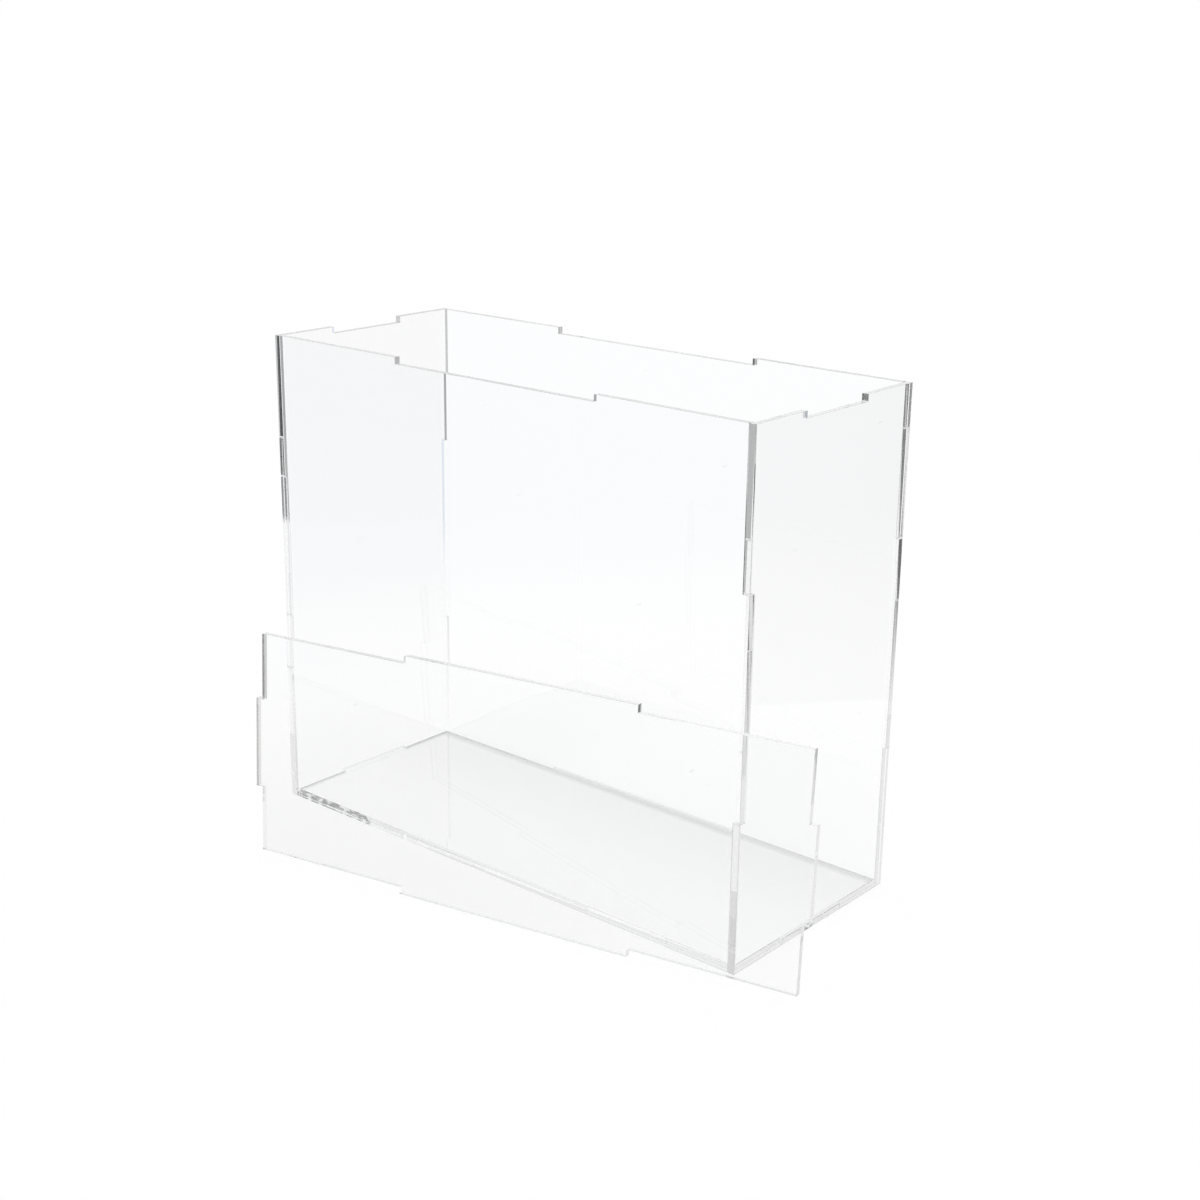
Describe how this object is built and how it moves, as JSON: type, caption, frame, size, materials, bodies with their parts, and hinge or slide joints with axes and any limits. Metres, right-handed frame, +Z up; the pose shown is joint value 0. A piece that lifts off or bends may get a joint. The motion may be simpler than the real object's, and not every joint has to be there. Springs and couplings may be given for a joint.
{
  "type": "acrylic display case",
  "caption": "Clear open-topped display case of interlocking flat sheet panels, with its loose flat lid standing against the front right corner.",
  "frame": {"origin": "middle of the case's footprint, on the underside of its floor, at table level", "axes": "+Z up, +X along the case's long side to the right of someone facing its front, -Y out of the front"},
  "size_m": [0.3027, 0.1639, 0.225],
  "materials": {
    "clear_acrylic": "clear, glossy, laser-cut edges"
  },
  "bodies": {
    "case": {"floor_panel": "clear_acrylic", "front_wall": "clear_acrylic", "back_wall": "clear_acrylic", "left_wall": "clear_acrylic", "right_wall": "clear_acrylic"},
    "lid": {"lid_panel": "clear_acrylic"}
  },
  "joints": [
    {"name": "lid_lift", "type": "slide", "parent": "case", "child": "lid", "axis": [0, 0, 1], "range_m": [0, 0.24]}
  ]
}
